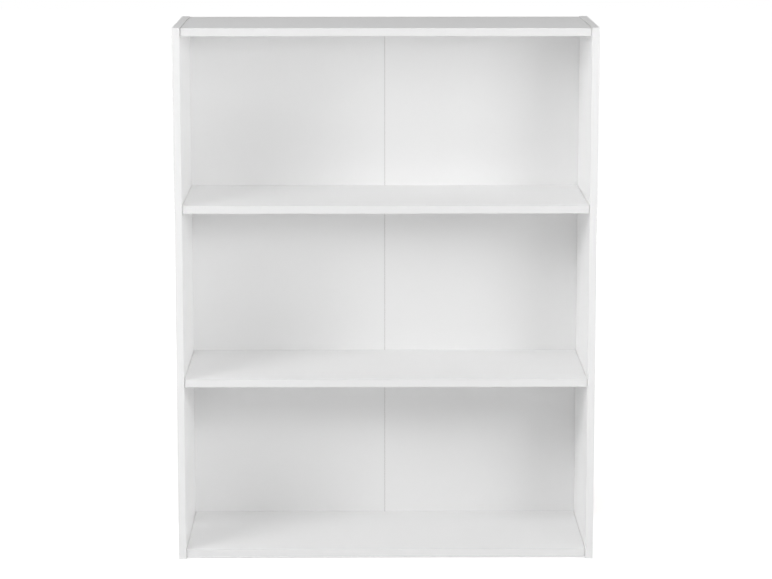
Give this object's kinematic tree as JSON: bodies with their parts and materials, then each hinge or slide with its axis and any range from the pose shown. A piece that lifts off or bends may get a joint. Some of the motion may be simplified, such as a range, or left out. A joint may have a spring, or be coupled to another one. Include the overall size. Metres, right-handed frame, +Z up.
{
  "type": "bookcase",
  "caption": "Open white bookcase of melamine-faced boards: tall sides, fixed shelves between them, a folded thin back in grooves, open front, no drawers or doors.",
  "frame": {"origin": "on the floor under the middle of the bookcase", "axes": "+X to the right seen from the front, +Y to the back, +Z up; the open front faces -Y"},
  "size_m": [0.8, 0.3, 1.025],
  "materials": {
    "white_board": "white melamine foil on particleboard, satin",
    "edge_band": "white edge band, satin",
    "back_board": "thin fibreboard, white lacquer in front, brown behind",
    "tape": "paper tape, matte",
    "zinc": "die-cast zinc, dull",
    "steel": "zinc-plated steel",
    "dowel_wood": "beech, untreated"
  },
  "bodies": {
    "root": {"left_side": "white_board", "right_side": "white_board", "bottom_board": "white_board", "lower_shelf": "white_board", "upper_shelf": "white_board", "top_board": "white_board", "left_side_front_band": "edge_band", "right_side_front_band": "edge_band", "left_side_top_band": "edge_band", "right_side_top_band": "edge_band", "bottom_board_front_band": "edge_band", "lower_shelf_front_band": "edge_band", "upper_shelf_front_band": "edge_band", "top_board_front_band": "edge_band", "back_panel_left": "back_board", "back_panel_right": "back_board", "back_fold_tape": "tape", "bottom_board_cams": "zinc", "top_board_cams": "zinc", "bottom_board_cam_bolts": "steel", "top_board_cam_bolts": "steel", "lower_shelf_dowels": "dowel_wood", "upper_shelf_dowels": "dowel_wood"}
  },
  "joints": []
}
